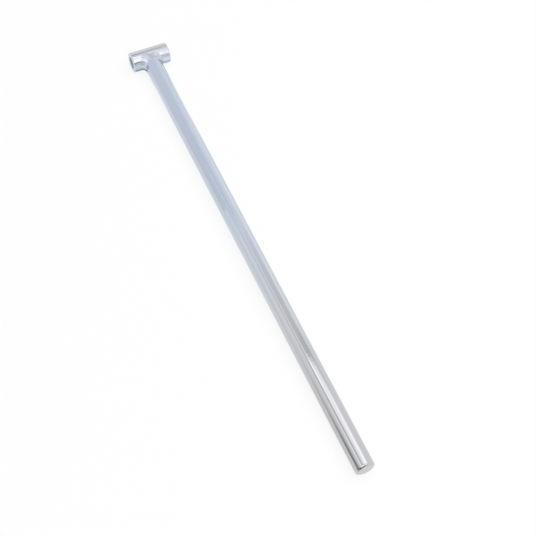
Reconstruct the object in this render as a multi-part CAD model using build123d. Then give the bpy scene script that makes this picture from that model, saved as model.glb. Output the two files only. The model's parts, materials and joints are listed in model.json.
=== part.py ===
"""Bicycle seatpost with a T-head: a straight steel tube coped onto a short cross tube and welded to it.

Millimetres. The origin is the centre of the cross tube's bore. +X runs down the post to its closed lower
end, +Y runs along the cross tube, and +Z points up as the post lies on a flat surface.
"""
import os

from build123d import *

# Post: a straight round tube, closed at its lower end
POST_D = 22.2
POST_WALL = 2.0
POST_REACH = 600.0  # from the cross tube's axis to the closed end
END_WALL = 3.0
END_ROUND = 3.0  # outer edge of the closed end
END_INNER_ROUND = 1.5

# Cross tube: short and thick-walled, bored through for the saddle's pin
CROSS_OVERSIZE = 2.3  # its diameter beyond the post's
CROSS_LENGTH = 48.0
CROSS_EDGE_ROUND = 1.2
BORE_D = 14.0
BORE_CHAMFER = 0.8

# Weld: a fillet bead all round the coped joint
WELD_LEG_POST = 4.5  # along the post
WELD_LEG_CROSS = 3.5  # round the cross tube

# Sizes that follow
post_r = POST_D / 2
cross_r = post_r + CROSS_OVERSIZE / 2


def bar_along_x(radius, length):
    """A round bar about the X axis, from the origin on."""
    return Pos(length / 2, 0, 0) * Rot(0, 90, 0) * Cylinder(radius, length)


def bar_along_y(radius, length):
    """A round bar about the Y axis, centred on the origin."""
    return Rot(90, 0, 0) * Cylinder(radius, length)


def rounded_half_section(length, radius, corner_round):
    """Half of a bar's lengthwise section, from X = 0, with its far outer corner rounded."""
    half = Rectangle(length, radius, align=(Align.MIN, Align.MIN))
    corner = half.vertices().group_by(Axis.X)[-1].sort_by(Axis.Y)[-1]
    return fillet(corner, corner_round)


def make_post_tube():
    """The tube is turned from its half section, then its open end is coped to sit on the cross tube."""
    outside = rounded_half_section(POST_REACH, post_r, END_ROUND)
    inside = rounded_half_section(POST_REACH - END_WALL, post_r - POST_WALL, END_INNER_ROUND)
    tube = revolve(outside - inside, Axis.X)
    return tube - bar_along_y(cross_r, CROSS_LENGTH)


def make_cross_tube():
    """The tube across the head, turned from its wall: outer edges rounded, bore mouths chamfered."""
    bore_r = BORE_D / 2
    wall = Pos((bore_r + cross_r) / 2, 0) * Rectangle(cross_r - bore_r, CROSS_LENGTH)
    wall = fillet(wall.vertices().group_by(Axis.X)[-1], CROSS_EDGE_ROUND)
    wall = chamfer(wall.vertices().group_by(Axis.X)[0], BORE_CHAMFER)
    return revolve(wall, Axis.Y)


def make_weld_bead():
    """Weld metal between the two tubes: the corner along their seam, filled out to a leg on each."""
    post = bar_along_x(post_r, POST_REACH)
    cross = bar_along_y(cross_r, CROSS_LENGTH)
    joined = post + cross
    seam = joined.edges().filter_by(GeomType.BSPLINE)
    post_side = joined.faces().filter_by(GeomType.CYLINDER).sort_by(Axis.X)[-1]
    return chamfer(seam, WELD_LEG_POST, WELD_LEG_CROSS, reference=post_side) - post - cross


os.makedirs("parts", exist_ok=True)
export_step(make_post_tube(), "parts/post_tube.step")
export_step(make_cross_tube(), "parts/cross_tube.step")
export_step(make_weld_bead(), "parts/weld_bead.step")
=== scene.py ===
"""Looks of the T-head seatpost: plated steel meshes in the CAD frame, a white studio, the camera. Metres."""
import json
import math

import bpy
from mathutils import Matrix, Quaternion, Vector, noise


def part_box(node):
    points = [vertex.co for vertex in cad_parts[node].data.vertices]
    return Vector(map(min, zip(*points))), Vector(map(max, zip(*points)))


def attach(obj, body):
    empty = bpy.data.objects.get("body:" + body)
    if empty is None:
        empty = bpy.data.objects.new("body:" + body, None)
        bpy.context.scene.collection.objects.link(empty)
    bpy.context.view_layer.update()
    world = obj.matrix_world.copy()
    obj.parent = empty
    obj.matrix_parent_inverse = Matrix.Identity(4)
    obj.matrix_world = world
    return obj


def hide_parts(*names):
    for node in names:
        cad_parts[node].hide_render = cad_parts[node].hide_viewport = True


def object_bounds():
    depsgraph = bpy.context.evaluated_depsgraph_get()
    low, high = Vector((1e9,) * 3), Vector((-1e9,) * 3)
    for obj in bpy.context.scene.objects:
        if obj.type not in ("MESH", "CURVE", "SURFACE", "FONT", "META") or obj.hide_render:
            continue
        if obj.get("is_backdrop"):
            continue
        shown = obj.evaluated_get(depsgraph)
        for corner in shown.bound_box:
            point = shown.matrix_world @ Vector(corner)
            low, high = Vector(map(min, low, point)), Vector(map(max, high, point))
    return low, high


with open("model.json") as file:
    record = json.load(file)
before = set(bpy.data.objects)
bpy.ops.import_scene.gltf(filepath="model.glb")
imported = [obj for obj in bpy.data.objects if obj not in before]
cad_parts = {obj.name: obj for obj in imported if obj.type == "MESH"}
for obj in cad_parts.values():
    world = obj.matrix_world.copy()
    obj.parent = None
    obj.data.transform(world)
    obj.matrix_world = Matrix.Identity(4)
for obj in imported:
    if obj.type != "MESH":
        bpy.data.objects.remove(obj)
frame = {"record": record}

CAD_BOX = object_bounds()

# Sizes read from the frame
cross_low, cross_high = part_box("cross_tube")
post_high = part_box("post_tube")[1]
weld_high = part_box("weld_bead")[1]
mounts = {mount["name"]: mount for mount in frame["record"]["mounts"]}
POST_R = mounts["post"]["dims"]["r_mm"] / 1000
POST_REACH = post_high.x
CROSS_R = cross_high.x
CROSS_HALF = cross_high.y
BORE_R = mounts["saddle_bore"]["dims"]["r_mm"] / 1000
WELD_LEG = weld_high.x - CROSS_R
FLOOR_Z = cross_low.z

# Edges and walls
POST_WALL = 0.002
END_WALL = 0.003
END_ROUND = 0.003
END_INNER_ROUND = 0.0015
END_GUARD = 0.0002  # between the last straight ring and the rounded end, to keep the shading straight
CROSS_EDGE_ROUND = 0.0012
BORE_CHAMFER = 0.0008

# Mesh density
AROUND = 192
ROUND_STEPS = 16
POST_RINGS = 60
CROSS_RINGS = 120
BEAD_AROUND = 480
BEAD_ACROSS = 48

# Edges sharper than these stay sharp in the shading
SHARP_EDGE = math.radians(40)
SHARP_BEAD_EDGE = math.radians(75)

# The cross tube's unevenness: a soft wave, stronger towards its left end, that fades out at both ends
WAVE_HEIGHT = 0.00022
WAVE_SCALE = 150
WAVE_OFFSET = Vector((28.6, 8.9, 15))
WAVE_FADE = 0.003
WAVE_MIDDLE_SHARE = 0.7
WAVE_LEFT_SHARE = 0.3

# The weld's legs, as degrees round the post from +Y towards +Z, leg on the cross tube, leg on the post
WELD_LEGS = [(0, 0.0052, 0.0068), (20, 0.0046, 0.006), (45, 0.0046, 0.0046), (65, 0.0052, 0.0052),
             (90, 0.008, 0.0058), (118, 0.0084, 0.0058), (137, 0.0082, 0.0056), (152, 0.005, 0.006),
             (172, 0.005, 0.0078), (200, 0.005, 0.0075), (270, 0.005, 0.004), (360, 0.0052, 0.0068)]
WELD_LEAN = 0.6
WELD_SUNK = 0.0003

# How far the weld's toes wander
WANDER = 0.0005
WANDER_SCALE = 3
WANDER_POST_OFFSET = Vector((9, 4, 2))

# The bead's section: its two handles as shares of the legs, and how much of the first is lost on top
BEAD_HANDLE = 0.5
BEAD_HANDLE_LOSS = 0.25
BEAD_LOSS_POWER = 4

# Outward from the bead is the way from this share of the seam's place to the middle between the toes
OUT_FROM_SHARE = 0.9

# The bead's ripples
RIPPLES = 44
RIPPLE_HEIGHT = 0.000012
RIPPLE_BOW = 2.5
RIPPLE_NOISE = 2
RIPPLE_NOISE_SCALE = 300

# The mound where the weld run was started and stopped: degrees round the post, and shares across the bead
MOUND_HEIGHT = 0.0001
MOUND_DEGREES = 104
MOUND_SPREAD = 18
MOUND_SHARE = 0.74
MOUND_SHARE_SPREAD = 0.14

# The gas pore
PORE_DEGREES = 113
PORE_SHARE = 0.92
PORE_RIM_HEIGHT = 0.0003
PORE_RIM_RADIUS = 0.0008
PORE_RUN_OUT = 4

# Tints, as stops of (part of the way, first tint, second tint). The two tints of a stop mottle into each
# other.
# On the post, the change from stop to stop is painted reflection: lighter and bluer towards the head,
# standing in for bluish light mirrored in its upper half.
# The cross tube is bluer low down, and the weld a little less green higher up.
POST_TINTS_AND_PAINTED_REFLECTION = [(0.36, (0.53, 0.633, 0.746), (0.577, 0.618, 0.754)),
              (0.56, (0.565, 0.618, 0.683), (0.593, 0.607, 0.688)),
              (0.71, (0.58, 0.605, 0.634), (0.594, 0.598, 0.64)),
              (0.84, (0.565, 0.575, 0.585), (0.572, 0.57, 0.592))]
CROSS_TINTS = [(0.3, (0.47, 0.62, 0.76), (0.505, 0.61, 0.76)),
               (0.5, (0.535, 0.646, 0.722), (0.57, 0.635, 0.722)),
               (1.0, (0.58, 0.624, 0.664), (0.606, 0.62, 0.672))]
WELD_TINTS = [(0.0, (0.55, 0.62, 0.69), (0.565, 0.615, 0.69)),
              (1.0, (0.551, 0.592, 0.675), (0.573, 0.587, 0.68))]
WELD_TINT_HEIGHTS = (0.007, 0.012)

# Textures of the plate
MOTTLE_SCALE = (16, 70, 70)
MOTTLE_RANGE = (0.32, 0.68)
GRAIN_SCALE = 260.0
GRAIN_RANGE = (0.3, 0.7)
GRAIN_GAIN = (0.8, 1.25)
RIB_SCALE = (700, 14, 14)
RIB_DEPTH = 0.0002

# Roughness from one end of its axis to the other
POST_ROUGHNESS = (0.08, 0.035)
CROSS_ROUGHNESS = (0.08, 0.38)
WELD_ROUGHNESS = (0.42, 0.14)
WELD_ROUGHNESS_REACH = (0.003, 0.011)

# The bore's wall
BORE_MATT_DEPTH = 0.0002
BORE_EXTRA_ROUGHNESS = 0.45
BORE_METALLIC = 0.15

# Studio
WHITE = (1, 1, 1, 1)
PAPER = (0.9, 0.9, 0.9, 1)
CARD_LIFT = 0.0002

# Camera
CAMERA_PLACE = (0.97431, -0.34096, 1.1477)
CAMERA_AIM = (0.34012, 0.00844, 0.0)
CAMERA_ROLL = math.radians(5.24)
CAMERA_LENS = 81.35
CAMERA_SENSOR = 36.0
CAMERA_FAR = 50


# Mesh helpers

def mesh_object(name, vertices, faces, material, smooth_angle=SHARP_EDGE):
    """A smooth-shaded mesh whose edges stay sharp past the given angle."""
    mesh = bpy.data.meshes.new(name)
    mesh.from_pydata(vertices, [], faces)
    mesh.validate()
    mesh.materials.append(material)
    mesh.shade_smooth()
    mesh.set_sharp_from_angle(angle=smooth_angle)
    piece = bpy.data.objects.new(name, mesh)
    bpy.context.collection.objects.link(piece)
    return piece


def grid_faces(rows, columns, closed_rows=False):
    """Quads over rows of points that close on themselves. closed_rows joins the last row to the first."""
    faces = []
    last = rows if closed_rows else rows - 1
    for row in range(last):
        start = row * columns
        after = (row + 1) % rows * columns
        for column in range(columns):
            beside = (column + 1) % columns
            faces.append((start + column, start + beside, after + beside, after + column))
    return faces


def arc(centre, radius, start, end, steps):
    """Points of a round corner, as (along, out) pairs. Angles run from the along axis towards out."""
    points = []
    for step in range(steps + 1):
        angle = start + (end - start) * step / steps
        points.append((centre[0] + radius * math.cos(angle), centre[1] + radius * math.sin(angle)))
    return points


# The post

def cope(radius, angle):
    """How far along the post a line at this angle on a tube of this radius meets the cross tube."""
    return math.sqrt(CROSS_R ** 2 - (radius * math.sin(angle)) ** 2)


def post_profile():
    """The half sections of the tube's outside and of its inside, as two lists of (along, out) pairs."""
    straight_from = CROSS_R + 2 * WELD_LEG
    straight_to = POST_REACH - END_ROUND
    rings = [straight_from + (straight_to - straight_from) * k / POST_RINGS for k in range(POST_RINGS)]
    outside = [(along, POST_R) for along in rings]
    outside.append((straight_to - END_GUARD, POST_R))
    outside += arc((straight_to, POST_R - END_ROUND), END_ROUND, math.pi / 2, 0, ROUND_STEPS)
    inner_r = POST_R - POST_WALL
    inner_end = POST_REACH - END_WALL
    corner = (inner_end - END_INNER_ROUND, inner_r - END_INNER_ROUND)
    inside = arc(corner, END_INNER_ROUND, 0, math.pi / 2, ROUND_STEPS)
    inside += [(straight_from, inner_r)]
    return outside, inside


def make_post(material):
    """A closed tube: coped at the head, rounded and closed at the lower end."""
    outside, inside = post_profile()
    angles = [2 * math.pi * k / AROUND for k in range(AROUND)]

    def ring(along, out):
        return [(along, out * math.cos(a), out * math.sin(a)) for a in angles]

    def coped_ring(radius):
        return [(cope(radius, a), radius * math.cos(a), radius * math.sin(a)) for a in angles]

    outer_rings = [coped_ring(POST_R)] + [ring(*p) for p in outside]
    inner_rings = [ring(*p) for p in inside] + [coped_ring(POST_R - POST_WALL)]
    vertices = [v for r in outer_rings for v in r]
    faces = grid_faces(len(outer_rings), AROUND)
    outer_count = len(vertices)
    vertices += [v for r in inner_rings for v in r]
    faces += [tuple(i + outer_count for i in f) for f in grid_faces(len(inner_rings), AROUND)]
    # End discs, and the coped rim between the two walls
    last_outer = outer_count - AROUND
    faces.append(tuple(range(last_outer, outer_count)))
    faces.append(tuple(reversed(range(outer_count, outer_count + AROUND))))
    last_inner = len(vertices) - AROUND
    for k in range(AROUND):
        beside = (k + 1) % AROUND
        faces.append((last_inner + k, last_inner + beside, beside, k))
    return mesh_object("plated_post", vertices, faces, material)


# The cross tube

def make_cross_tube(material):
    """The bored tube, turned from its wall's section. Its outside is a little uneven, as ground tube is."""
    edge = CROSS_HALF - CROSS_EDGE_ROUND
    mouth = CROSS_HALF - BORE_CHAMFER
    section = [(edge - 2 * edge * k / CROSS_RINGS, CROSS_R) for k in range(1, CROSS_RINGS)]
    section += arc((-edge, CROSS_R - CROSS_EDGE_ROUND), CROSS_EDGE_ROUND, math.pi / 2, math.pi, ROUND_STEPS)
    section += [(-CROSS_HALF, BORE_R + BORE_CHAMFER), (-mouth, BORE_R)]
    section += [(mouth, BORE_R), (CROSS_HALF, BORE_R + BORE_CHAMFER)]
    section += arc((edge, CROSS_R - CROSS_EDGE_ROUND), CROSS_EDGE_ROUND, 0, math.pi / 2, ROUND_STEPS)
    vertices = []
    for y, radius in section:
        for k in range(AROUND):
            turn = 2 * math.pi * k / AROUND
            place = Vector((radius * math.cos(turn), y, radius * math.sin(turn)))
            if radius == CROSS_R:
                fade = min(1.0, (edge - abs(y)) / WAVE_FADE)
                share = WAVE_MIDDLE_SHARE - WAVE_LEFT_SHARE * y / edge
                wave = noise.noise(place * WAVE_SCALE + WAVE_OFFSET)
                place *= 1 + WAVE_HEIGHT * fade * share * wave / CROSS_R
                place.y = y
            vertices.append(tuple(place))
    return mesh_object("plated_cross_tube", vertices, grid_faces(len(section), AROUND, True), material)


# The weld

def toe_on_cross(angle, leg):
    """The point a leg away from the seam along the cross tube's surface, and the way back from it."""
    turn = math.asin(POST_R * math.sin(angle) / CROSS_R)
    away = Vector((POST_R * math.cos(angle) / math.cos(turn), POST_R * math.sin(angle))).normalized()
    turn += leg * away.y / CROSS_R
    y = POST_R * math.cos(angle) + leg * away.x
    toe = Vector((CROSS_R * math.cos(turn), y, CROSS_R * math.sin(turn)))
    return toe, -Vector((-away.y * math.sin(turn), away.x, away.y * math.cos(turn)))


def toe_on_post(angle, leg):
    """The point a leg away from the seam along the post's surface, and the way back from it.

    The way leans less than one square to the seam would, so that no two ways cross on top of the post.
    """
    along = cope(POST_R, angle)
    slope = -POST_R ** 2 * math.sin(angle) * math.cos(angle) / along
    away = Vector((POST_R, -slope * WELD_LEAN)).normalized()
    turn = angle + leg * away.y / POST_R
    toe = Vector((along + leg * away.x, POST_R * math.cos(turn), POST_R * math.sin(turn)))
    return toe, -Vector((away.x, -away.y * math.sin(turn), away.y * math.cos(turn)))


def legs_at(degrees):
    """The weld's two legs at this place round the seam, eased between the listed places."""
    for (low, *before), (high, *after) in zip(WELD_LEGS, WELD_LEGS[1:]):
        if degrees <= high:
            part = (degrees - low) / (high - low)
            eased = part * part * (3 - 2 * part)
            return [first + (second - first) * eased for first, second in zip(before, after)]


def bead_row(angle):
    """The bead's section at this place round the seam, from toe to toe, and its root under the seam."""
    place = Vector((math.cos(angle), math.sin(angle), 0)) * WANDER_SCALE
    cross_leg, post_leg = legs_at(math.degrees(angle))
    cross_leg += WANDER * noise.noise(place)
    start, start_way = toe_on_cross(angle, cross_leg)
    end, end_way = toe_on_post(angle, post_leg + WANDER * noise.noise(place + WANDER_POST_OFFSET))
    loss = BEAD_HANDLE_LOSS * max(0.0, math.sin(angle)) ** BEAD_LOSS_POWER
    after = start + start_way * cross_leg * (BEAD_HANDLE - loss)
    before = end + end_way * post_leg * BEAD_HANDLE
    seam = Vector((cope(POST_R, angle), POST_R * math.cos(angle), POST_R * math.sin(angle)))
    out = ((start + end) / 2 - seam * OUT_FROM_SHARE).normalized()
    row = []
    for j in range(BEAD_ACROSS + 1):
        t = j / BEAD_ACROSS
        point = (start * (1 - t) ** 3 + after * 3 * t * (1 - t) ** 2
                 + before * 3 * t * t * (1 - t) + end * t ** 3)
        crest = math.sin(math.pi * t)
        wave = math.sin(RIPPLES * angle + RIPPLE_BOW * crest)
        wave += RIPPLE_NOISE * noise.noise(point * RIPPLE_NOISE_SCALE)
        row.append(point + out * (RIPPLE_HEIGHT * wave * crest))
    row.append(seam - out * WELD_SUNK)
    return row


def make_weld(material):
    """A bead round the seam, widest over the top of the cross tube and tight in the corners by the post."""
    rows = [bead_row(2 * math.pi * k / BEAD_AROUND) for k in range(BEAD_AROUND)]
    raise_mound(rows)
    open_pore(rows)
    vertices = [tuple(p) for row in rows for p in row]
    faces = [face[::-1] for face in grid_faces(len(rows), len(rows[0]), True)]
    return mesh_object("weld_run", vertices, faces, material, SHARP_BEAD_EDGE)


def raise_mound(rows):
    """A low mound on top of the bead, where the weld run was started and stopped."""
    for k, row in enumerate(rows):
        from_middle = (360 * k / BEAD_AROUND - MOUND_DEGREES) / MOUND_SPREAD
        for j, point in enumerate(row[:-1]):
            from_crest = (j / BEAD_ACROSS - MOUND_SHARE) / MOUND_SHARE_SPREAD
            point.z += MOUND_HEIGHT * math.exp(-from_middle * from_middle - from_crest * from_crest)


def open_pore(rows):
    """A small gas pore in the bead, with a raised rim that runs out at the toe on the post."""
    centre = rows[round(PORE_DEGREES / 360 * BEAD_AROUND)][round(PORE_SHARE * BEAD_ACROSS)].copy()
    for row in rows:
        for j, point in enumerate(row[:-1]):
            far = ((point - centre).length / PORE_RIM_RADIUS) ** 2
            height = PORE_RIM_HEIGHT * min(1.0, (BEAD_ACROSS - j) / PORE_RUN_OUT)
            point += Vector((0, point.y, point.z)).normalized() * height * far * math.exp(1 - far)


# Materials

class Nodes:
    """Short ways to add and join shader nodes in an emptied node tree."""

    def __init__(self, tree):
        self.tree = tree
        tree.nodes.clear()

    def add(self, kind, inputs=None, **settings):
        """A node whose inputs are linked to sockets or set to values."""
        node = self.tree.nodes.new("ShaderNode" + kind)
        for name, value in settings.items():
            setattr(node, name, value)
        for name, value in (inputs or {}).items():
            if isinstance(value, bpy.types.NodeSocket):
                self.tree.links.new(value, node.inputs[name])
            else:
                node.inputs[name].default_value = value
        return node

    def ramp(self, factor, stops):
        """The colour at this factor along stops of (part of the way, colour)."""
        node = self.add("ValToRGB", {"Fac": factor})
        points = node.color_ramp.elements
        while len(points) < len(stops):
            points.new(1.0)
        for point, (place, colour) in zip(points, stops):
            point.position = place
            point.color = (*colour, 1.0)
        return node.outputs["Color"]

    def mix_colour(self, first, second, factor):
        """A mix of two colours. Inputs 6 and 7 and output 2 are the Mix node's sockets for colours."""
        return self.add("Mix", {0: factor, 6: first, 7: second}, data_type="RGBA").outputs[2]

    def drift(self, value, start, end, first=0.0, last=1.0):
        """Goes from first to last as the value goes from start to end."""
        span = {"Value": value, "From Min": start, "From Max": end, "To Min": first, "To Max": last}
        return self.add("MapRange", span).outputs["Result"]

    def math(self, operation, first, second):
        """A sum, product or the like of two sockets or values."""
        return self.add("Math", {0: first, 1: second}, operation=operation).outputs["Value"]


def plated_steel(name, tints, roughness, rib_strength, dull_inside=False):
    """Zinc plate: two tints that mottle into each other, fine turning ribs and a satin grain.

    tints: (axis, start, end, stops). A stop along the axis is (part of the way, first tint, second tint).
    roughness: (axis, start, end, roughness at the start, roughness at the end).
    dull_inside leaves the bore's wall rough and matt.
    """
    material = bpy.data.materials.new(name)
    material.use_nodes = True
    nodes = Nodes(material.node_tree)
    place = nodes.add("TexCoord").outputs["Object"]
    axes = nodes.add("SeparateXYZ", {"Vector": place}).outputs
    axis, start, end, stops = tints
    # The tints drift from stop to stop along the axis; on the post this drift is painted reflection, bluer
    # towards the head
    part = nodes.drift(axes[axis], start, end)
    first_tint = nodes.ramp(part, [(stop, tint) for stop, tint, _ in stops])
    second_tint = nodes.ramp(part, [(stop, tint) for stop, _, tint in stops])
    stretched = nodes.add("Mapping", {"Vector": place, "Scale": MOTTLE_SCALE}).outputs["Vector"]
    clouds = nodes.add("TexNoise", {"Vector": stretched, "Scale": 1.0, "Detail": 3.0, "Roughness": 0.5})
    colour = nodes.mix_colour(first_tint, second_tint, nodes.drift(clouds.outputs["Fac"], *MOTTLE_RANGE))
    fine = nodes.add("TexNoise", {"Vector": place, "Scale": GRAIN_SCALE, "Detail": 4.0})
    grain = nodes.drift(fine.outputs["Fac"], *GRAIN_RANGE, *GRAIN_GAIN)
    axis, *ends = roughness
    rough = nodes.math("MULTIPLY", grain, nodes.drift(axes[axis], *ends))
    ribbed = nodes.add("Mapping", {"Vector": place, "Scale": RIB_SCALE}).outputs["Vector"]
    ribs = nodes.add("TexNoise", {"Vector": ribbed, "Scale": 1.0, "Detail": 2.0})
    height = ribs.outputs["Fac"]
    bump = nodes.add("Bump", {"Height": height, "Strength": rib_strength, "Distance": RIB_DEPTH})
    shader = nodes.add("BsdfPrincipled", {"Base Color": colour, "Normal": bump.outputs["Normal"]})
    if dull_inside:
        squared = nodes.math("ADD", nodes.math("POWER", axes["X"], 2.0), nodes.math("POWER", axes["Z"], 2.0))
        from_axis = nodes.math("SQRT", squared, 0.0)
        outside = nodes.drift(from_axis, BORE_R + BORE_MATT_DEPTH, BORE_R + BORE_CHAMFER)
        matt = nodes.math("SUBTRACT", 1.0, outside)
        rough = nodes.math("ADD", rough, nodes.math("MULTIPLY", matt, BORE_EXTRA_ROUGHNESS))
        nodes.tree.links.new(nodes.drift(outside, 0.0, 1.0, BORE_METALLIC, 1.0), shader.inputs["Metallic"])
    else:
        shader.inputs["Metallic"].default_value = 1.0
    nodes.tree.links.new(rough, shader.inputs["Roughness"])
    nodes.add("OutputMaterial", {"Surface": shader.outputs["BSDF"]})
    return material


# Studio

def make_world(fill):
    """White where it is seen, also in mirrors and glass, and a softer fill where it lights."""
    world = bpy.data.worlds.new("white_studio")
    bpy.context.scene.world = world
    world.use_nodes = True
    nodes = Nodes(world.node_tree)
    path = nodes.add("LightPath").outputs
    seen = nodes.math("MAXIMUM", path["Is Camera Ray"], path["Is Glossy Ray"])
    seen = nodes.math("MAXIMUM", seen, path["Is Transmission Ray"])
    lit = nodes.add("Background", {"Color": WHITE, "Strength": fill})
    white = nodes.add("Background", {"Color": WHITE, "Strength": 1.0})
    mixed = nodes.add("MixShader", {0: seen, 1: lit.outputs[0], 2: white.outputs[0]})
    nodes.add("OutputWorld", {"Surface": mixed.outputs[0]})


def make_floor(half_size, whiteness, mirrored_whiteness):
    """A white floor that keeps the object's shadow, and is lifted towards white where it is seen.

    whiteness: how far it is lifted. mirrored_whiteness: how far in mirrors.
    """
    material = bpy.data.materials.new("white_floor")
    material.use_nodes = True
    nodes = Nodes(material.node_tree)
    paper = nodes.add("BsdfDiffuse", {"Color": PAPER})
    glow = nodes.add("Emission", {"Color": WHITE, "Strength": 1.0})
    path = nodes.add("LightPath").outputs
    seen = nodes.math("MAXIMUM", path["Is Camera Ray"], path["Is Transmission Ray"])
    lift = nodes.math("MAXIMUM", nodes.math("MULTIPLY", seen, whiteness),
                      nodes.math("MULTIPLY", path["Is Glossy Ray"], mirrored_whiteness))
    mixed = nodes.add("MixShader", {0: lift, 1: paper.outputs[0], 2: glow.outputs[0]})
    nodes.add("OutputMaterial", {"Surface": mixed.outputs[0]})
    signs = [(-1, -1), (1, -1), (1, 1), (-1, 1)]
    corners = [(x * half_size, y * half_size, FLOOR_Z) for x, y in signs]
    floor = mesh_object("floor", corners, [(0, 1, 2, 3)], material)
    floor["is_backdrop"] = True


def make_softbox(name, place, aim, width, depth, brightness):
    """A large lamp that mirrors do not show. brightness: its watts per square metre, over pi."""
    lamp = bpy.data.lights.new(name, "AREA")
    lamp.shape = "RECTANGLE"
    lamp.size = width
    lamp.size_y = depth
    lamp.energy = brightness * math.pi * width * depth
    light = bpy.data.objects.new(name, lamp)
    light.location = place
    light.rotation_euler = (Vector(aim) - Vector(place)).to_track_quat("-Z", "Y").to_euler()
    light.visible_glossy = False
    bpy.context.collection.objects.link(light)


def make_card(name, along, across, place, tint=(1, 1, 1), gel=False):
    """A glowing card, or a clear gel, that only mirrors show, as a grid over its two lists of stops.

    along: (x, share) stops. across: (second coordinate, gain) stops. place: the point at both coordinates.
    The tone at a point is the studio's white plus share times gain, in the tint's proportions. A card glows
    in its tone, and a gel multiplies what is behind it by its tone.
    """
    vertices = []
    tones = []
    for x, share in along:
        for second, gain in across:
            vertices.append(place(x, second))
            tones += [1 + share * gain * channel for channel in tint] + [1.0]
    columns = len(across)
    faces = []
    for row in range(len(along) - 1):
        for column in range(columns - 1):
            first = row * columns + column
            faces.append((first, first + 1, first + columns + 1, first + columns))
    material = bpy.data.materials.new(name)
    material.use_nodes = True
    nodes = Nodes(material.node_tree)
    tone = nodes.add("Attribute", attribute_name="tone").outputs["Color"]
    sheet = nodes.add("BsdfTransparent" if gel else "Emission", {"Color": tone})
    nodes.add("OutputMaterial", {"Surface": sheet.outputs[0]})
    card = mesh_object(name, vertices, faces, material)
    card.data.attributes.new("tone", "FLOAT_COLOR", "POINT").data.foreach_set("color", tones)
    for kind in ("camera", "diffuse", "transmission", "volume_scatter", "shadow"):
        setattr(card, "visible_" + kind, False)
    card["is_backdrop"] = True


def make_panel(name, distance, along, across, tint=(1, 1, 1), gel=False):
    """A curved panel of the tent round the post's axis. across: degrees from straight up towards +Y."""
    def place(x, degrees):
        turn = math.radians(degrees)
        return x, distance * math.sin(turn), distance * math.cos(turn)
    make_card(name, along, across, place, tint, gel)


def make_floor_card(name, along, across):
    """A flat card just over the floor. across: y."""
    make_card(name, along, across, lambda x, y: (x, y, FLOOR_Z + CARD_LIFT))


def make_camera():
    """The camera at the photo's viewing angle, without shift."""
    camera = bpy.data.cameras.new("photo_view")
    camera.lens = CAMERA_LENS
    camera.sensor_width = CAMERA_SENSOR
    camera.clip_end = CAMERA_FAR
    eye = bpy.data.objects.new("photo_view", camera)
    eye.location = CAMERA_PLACE
    level = (Vector(CAMERA_AIM) - Vector(CAMERA_PLACE)).to_track_quat("-Z", "Y")
    eye.rotation_euler = (level @ Quaternion((0, 0, 1), CAMERA_ROLL)).to_euler()
    bpy.context.collection.objects.link(eye)
    bpy.context.scene.camera = eye


# The object
# The post's tints carry painted reflection: lighter and bluer towards the head, neutral at the lower end
post_steel = plated_steel("plated_post", ("X", 0.0, POST_REACH, POST_TINTS_AND_PAINTED_REFLECTION),
                          ("X", 0.0, POST_REACH, *POST_ROUGHNESS), rib_strength=0.05)
cross_steel = plated_steel("plated_cross_tube", ("Z", -CROSS_R, CROSS_R, CROSS_TINTS),
                           ("Y", -CROSS_HALF, CROSS_HALF, *CROSS_ROUGHNESS), rib_strength=0.03,
                           dull_inside=True)
weld_steel = plated_steel("plated_weld", ("Z", *WELD_TINT_HEIGHTS, WELD_TINTS),
                          ("X", *WELD_ROUGHNESS_REACH, *WELD_ROUGHNESS), rib_strength=0.06)
dressed = (("post_tube", "plated_post", make_post(post_steel)),
           ("cross_tube", "plated_cross_tube", make_cross_tube(cross_steel)),
           ("weld_bead", "plated_weld", make_weld(weld_steel)))
for node, slot, piece in dressed:
    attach(piece, "root")
    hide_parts(node)

# The studio's light
make_world(fill=0.5)
make_floor(half_size=12.0, whiteness=0.86, mirrored_whiteness=0.7)
make_softbox("key_softbox", place=(1.65, 1.35, 4.0), aim=(1.65, 1.35, 0),
             width=6.9, depth=4.7, brightness=1.8)

# The tent's far panels: streaks and grey bands along the post, and lights on the head
make_panel("bright_panel", 5.0,
           [(-1.65, 0.55), (-1.4, 0.85), (-1.2, 0.98), (-0.98, 1.15), (-0.8, 1.0), (-0.4, -0.6), (0.5, -0.6),
            (1.5, 0.5), (2.3, 1.45), (5.2, 1.45)],
           [(-15, 0.05), (-8, 0.2), (4, 0.35), (12, 0.5), (18, 0.6), (24, 0.56), (33, 0.28), (43, 0.0)])
make_panel("bright_edge", 4.9,
           [(-1.63, 1.15), (-1.45, 1.0), (-1.2, 0.6), (-0.98, 0.3)],
           [(-14, 0.3), (-10, 0.62), (-6, 0.62), (1, 0.4)])
make_panel("panel_frame", 4.9,
           [(-3.0, 0.0), (-2.5, 0.9), (-1.6, 0.9), (-1.4, 1.25), (-0.7, 1.25), (-0.6, 0.0)],
           [(-31, 0.0), (-27, -0.24), (-20, -0.24), (-15, 0.0)])
make_panel("grey_wedge", 5.0,
           [(-2.9, 0.0), (-2.5, 0.6), (-2.25, 0.85), (-1.85, 1.1), (-1.7, 1.35), (-1.65, 1.35)],
           [(-4, 0.0), (0, -0.2), (12, -0.2), (24, -0.2), (36, -0.2), (46, -0.2), (53, 0.0)])
make_panel("grey_ceiling", 5.0,
           [(-4.3, 0.6), (-3.4, 1.0), (-2.75, 1.1), (-2.55, 0.0)],
           [(-93, -0.1), (-80, -0.16), (-70, -0.16), (-45, -0.15), (-20, -0.16), (0, -0.15), (15, -0.12),
            (40, 0.0)])
make_panel("side_window", 5.0,
           [(-1.5, 0.0), (-1.1, 1.0), (6.0, 1.0)],
           [(-48, 0.0), (-42, 0.22), (-36, 0.22), (-31, 0.0)], tint=(1.05, 0.9, 1.25))
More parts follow.
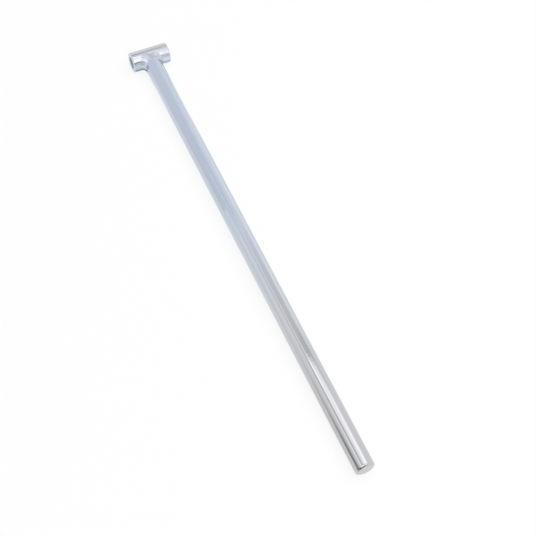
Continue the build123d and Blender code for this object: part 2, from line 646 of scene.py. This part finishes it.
make_panel("top_window", 4.7,
           [(-0.7, 0.0), (-0.4, 1.0), (1.0, 1.0), (1.4, 0.0)],
           [(8, 0.0), (10, 0.5), (18, 0.5), (22, 0.0)])
make_panel("right_panel", 5.0,
           [(-3.8, 0.0), (-3.0, 1.0), (-2.1, 1.0), (-1.7, 0.0)],
           [(54, 0.0), (62, 0.12), (74, 0.12), (85, 0.12), (91, 0.0)])
make_panel("left_window", 4.8,
           [(0.0, 0.0), (0.4, 1.0), (6.0, 1.0), (6.5, 0.0)],
           [(-62, 0.0), (-52, 0.3), (-36, 0.4), (-24, 0.5), (-14, 0.5), (-6, 0.0)])
make_panel("streak_gel", 4.6,
           [(-1.68, 0.5), (-1.55, 0.8), (-1.46, 1.0), (-1.37, 0.9), (-1.26, 0.0)],
           [(14, 0.0), (22, -0.09), (33, -0.07), (43, -0.17), (54, -0.11), (64, 0.0)], gel=True)

# Cards, flags and a gel: dark lines on the head and the left flank, the end's dark rim, and the tones of the
# flanks, which two sheets hugging the post give as painted reflection
make_panel("horizon_card", 1.0,
           [(0.3, 0.0), (0.4, 0.5), (0.8, 0.5), (0.95, 1.0), (1.6, 1.0), (1.8, 0.0)],
           [(-78, 0.0), (-72, -0.6), (-55, -0.6), (-48, 0.0)])
# A glowing sheet just off the post: painted reflection, lighter and darker along its left flank
make_panel("painted_flank_reflection", 0.0119,
           [(0.0205, 0.4), (0.028, 0.2), (0.05, -0.35), (0.06, -0.3), (0.12, 0.1), (0.36, 0.0), (0.46, 0.3),
            (0.52, 0.6), (0.5965, 0.55)],
           [(-178, -0.2), (-155, -0.2), (-132, -0.2), (-110, -0.2), (-95, -0.2), (-80, -0.2), (-66, -0.1)])
# A gel just off the post: painted reflection hue, taking some blue from both flanks in the post's upper half
make_panel("painted_flank_hue_gel", 0.0117,
           [(0.0205, 0.7), (0.1, 0.7), (0.17, 1.15), (0.24, 1.0), (0.3, 0.5), (0.36, 0.0)],
           [(-112, -0.06), (-94, -0.065), (-78, -0.07), (-62, -0.07), (-52, -0.045), (-40, 0.0), (-24, 0.0),
            (-8, 0.0), (8, 0.0), (20, -0.045), (30, -0.07), (46, -0.07), (62, -0.065), (78, -0.06),
            (94, -0.05)], tint=(0, 0.15, 1), gel=True)
make_panel("left_flag", 0.1,
           [(0.2, 0.1), (0.42, 0.2), (0.45, 0.3), (0.493, 0.52), (0.536, 0.95), (0.56, 1.05), (0.6, 1.1),
            (0.62, 1.4), (0.8, 1.4)],
           [(-96.8, -0.3), (-90, -0.55), (-84, -0.66), (-76, -0.64), (-70, -0.48), (-63, -0.25), (-54, -0.1),
            (-46, 0.0)])
make_panel("back_flag", 5.0,
           [(-5.8, 0.0), (-5.3, 1.0), (-4.3, 1.0), (-4.05, 0.0)],
           [(-10, -0.8), (17, -0.8), (45, -0.8)])
make_panel("front_flag", 1.0,
           [(1.2, 0.0), (1.45, 1.0), (2.8, 1.0), (3.2, 0.0)],
           [(-80, -0.45), (-50, -0.45), (-15, -0.5), (14, -0.6), (25, -0.55), (34, -0.45), (50, -0.45)])
make_panel("front_card", 0.3,
           [(0.8, 0.0), (1.1, 1.0), (4.0, 1.0), (5.0, 0.0)],
           [(-86, -0.95), (-70, -0.95), (-55, -0.95), (-40, -0.95), (-20, -0.95), (0, -0.95), (8, -0.95)])
make_panel("rim_card", 0.095,
           [(0.63, 0.0), (0.645, 1.0), (0.86, 1.0), (0.9, 0.0)],
           [(-97, -0.9), (-80, -0.92), (-66, -0.88), (-58, -0.85), (-50, -0.5), (-40, 0.0)])

# Cards on the floor that only mirrors show: painted shade ahead of the lower end, painted shadow under the
# head and a painted pool of light beside it
# Painted shade: darker floor ahead of the lower end, which its end face mirrors
make_floor_card("painted_end_shade_card",
                [(0.612, 0.0), (0.62, 1.0), (0.8, 1.0), (1.0, 0.0)],
                [(-0.3, 0.0), (-0.2, -0.35), (-0.007, -0.35), (0.001, 0.0)])
# Painted shadow: darker floor under the head, mirrored in the undersides of the cross tube and the weld
make_floor_card("painted_head_shadow_card",
                [(0.004, 0.8), (0.01, 1.0), (0.016, 0.7), (0.022, 0.0)],
                [(-0.026, 0.0), (-0.019, -0.7), (-0.0115, -0.7), (-0.0085, 0.0), (0.012, 0.0),
                 (0.018, -0.35), (0.06, -0.35)])
# Painted light: a brighter patch of floor beside the head, seen only in mirrors
make_floor_card("head_glow",
                [(0.022, 0.0), (0.03, 1.0), (0.08, 1.0), (0.12, 0.0)],
                [(0.018, 0.0), (0.024, 0.22), (0.06, 0.22), (0.08, 0.0)])

make_camera()
bpy.context.scene.view_settings.view_transform = "Standard"

boxes = {"cad": CAD_BOX, "visual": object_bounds()}
{name: [list(corner) for corner in box] for name, box in boxes.items()}
